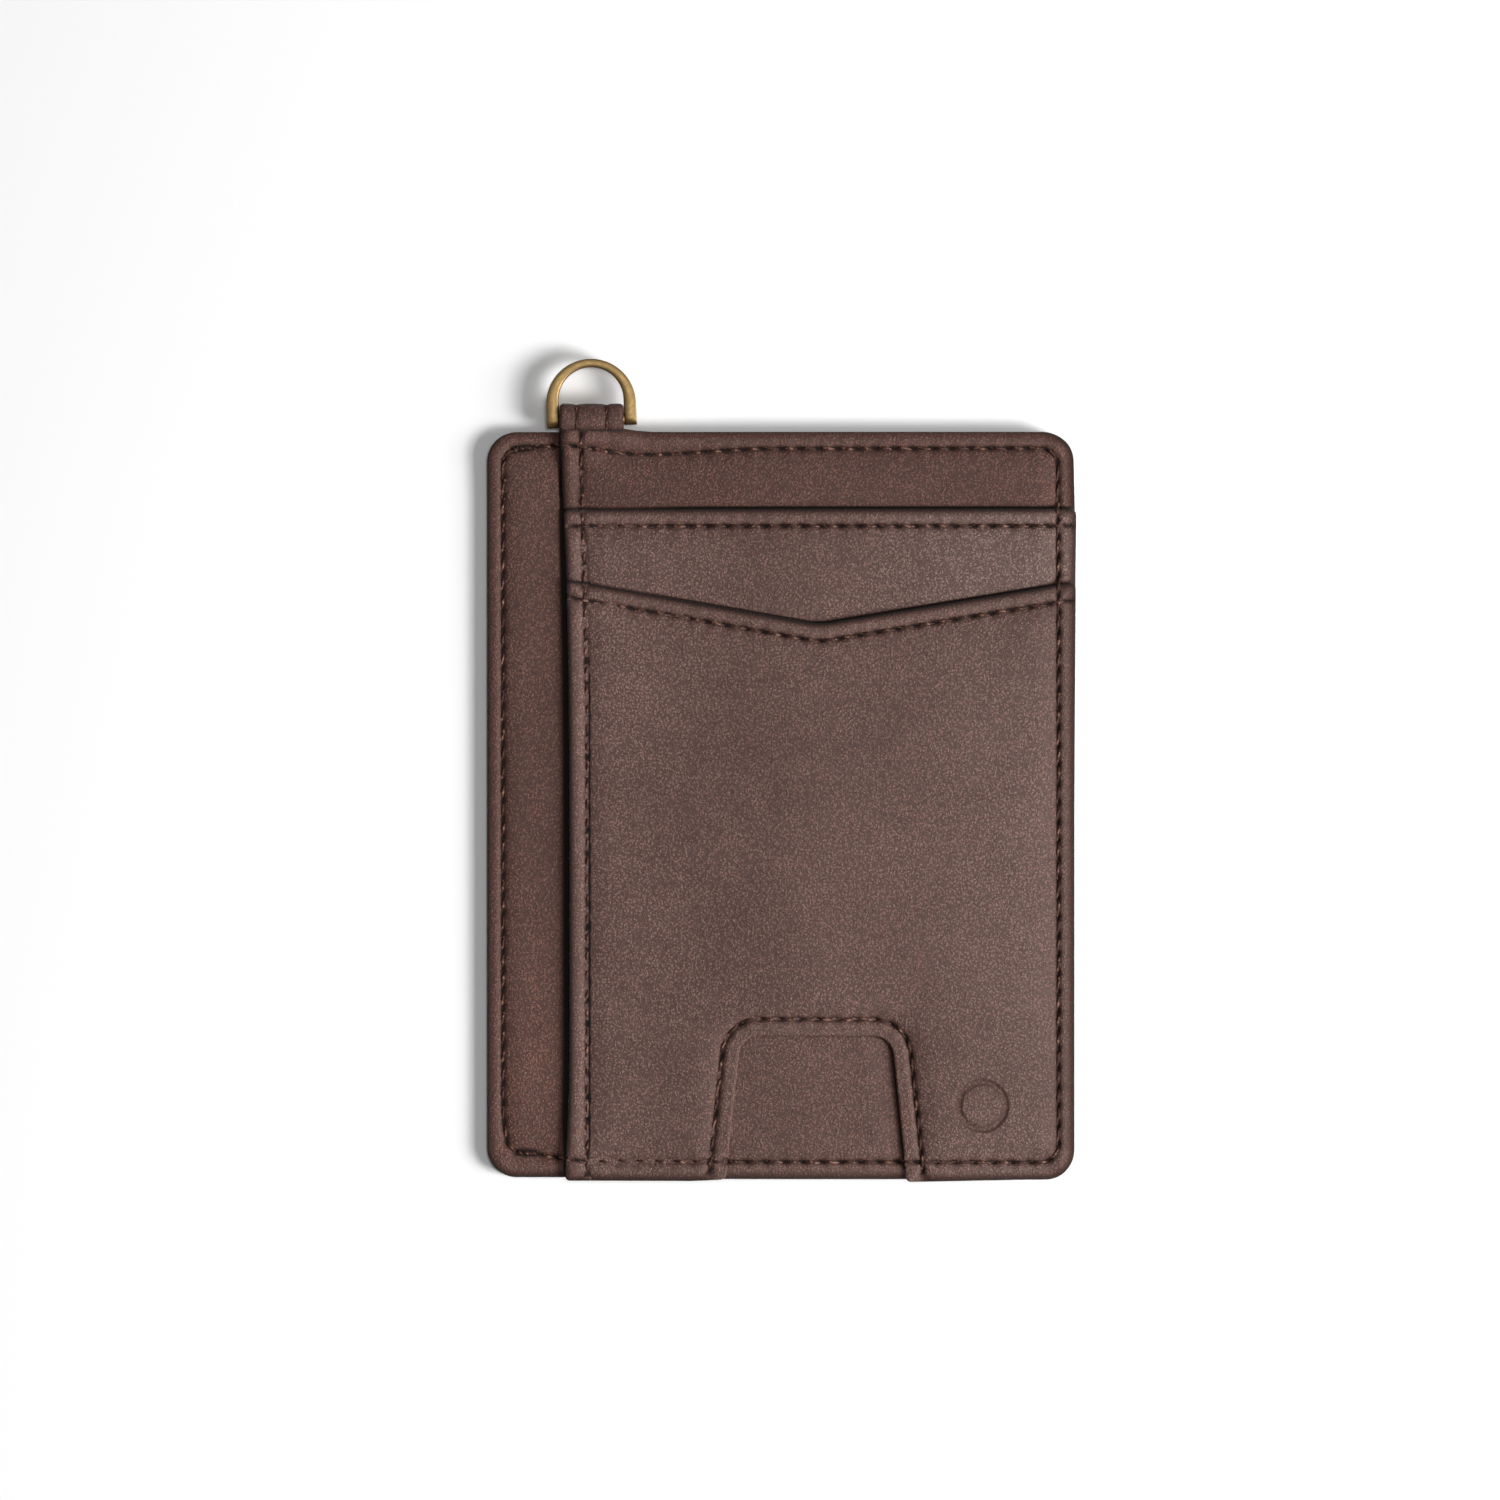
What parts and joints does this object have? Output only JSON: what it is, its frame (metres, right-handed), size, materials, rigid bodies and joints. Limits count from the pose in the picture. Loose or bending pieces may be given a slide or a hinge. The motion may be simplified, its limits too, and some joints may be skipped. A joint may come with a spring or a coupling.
{
  "type": "minimalist wallet",
  "caption": "Slim leather front-pocket wallet: slanted and straight card pockets, thumb notch, side-opening cash pocket, windowed back pocket and a small D-ring on a tab.",
  "frame": {"origin": "under the middle of the whole object, ring included, on the surface the wallet lies on", "axes": "+X to the wallet's right seen from the front, +Y up the wallet towards the ring, +Z out of the front"},
  "size_m": [0.0712, 0.0995, 0.006],
  "materials": {
    "leather": "dark brown fine-grained leather, satin with a soft greyish sheen",
    "lining": "dark brown woven polyester lining",
    "shield": "thin metallised shielding foil",
    "film": "clear flexible film",
    "thread": "dark brown bonded sewing thread",
    "ring_brass": "satin light gold plating with polished edges"
  },
  "bodies": {
    "wallet": {"back_pocket": "leather", "id_window": "film", "back_panel": "leather", "back_shield": "shield", "inner_panel": "leather", "front_lining": "lining", "front_shield": "shield", "front_panel": "leather", "upper_pocket_lining": "lining", "upper_pocket": "leather", "lower_pocket_lining": "lining", "lower_pocket": "leather", "ring_tab": "leather", "perimeter_thread_front": "thread", "perimeter_thread_back": "thread", "panel_edge_thread": "thread", "upper_pocket_thread": "thread", "lower_pocket_thread": "thread", "thumb_notch_thread": "thread", "tab_thread": "thread", "window_thread": "thread", "back_mouth_thread": "thread"},
    "d_ring": {"d_ring": "ring_brass"}
  },
  "joints": [
    {"name": "ring_swing", "type": "hinge", "parent": "wallet", "child": "d_ring", "pos_m": [-0.02305, 0.04255, 0.00263], "axis": [0.999, 0.0436, 0], "range_deg": [-90, 100]}
  ]
}
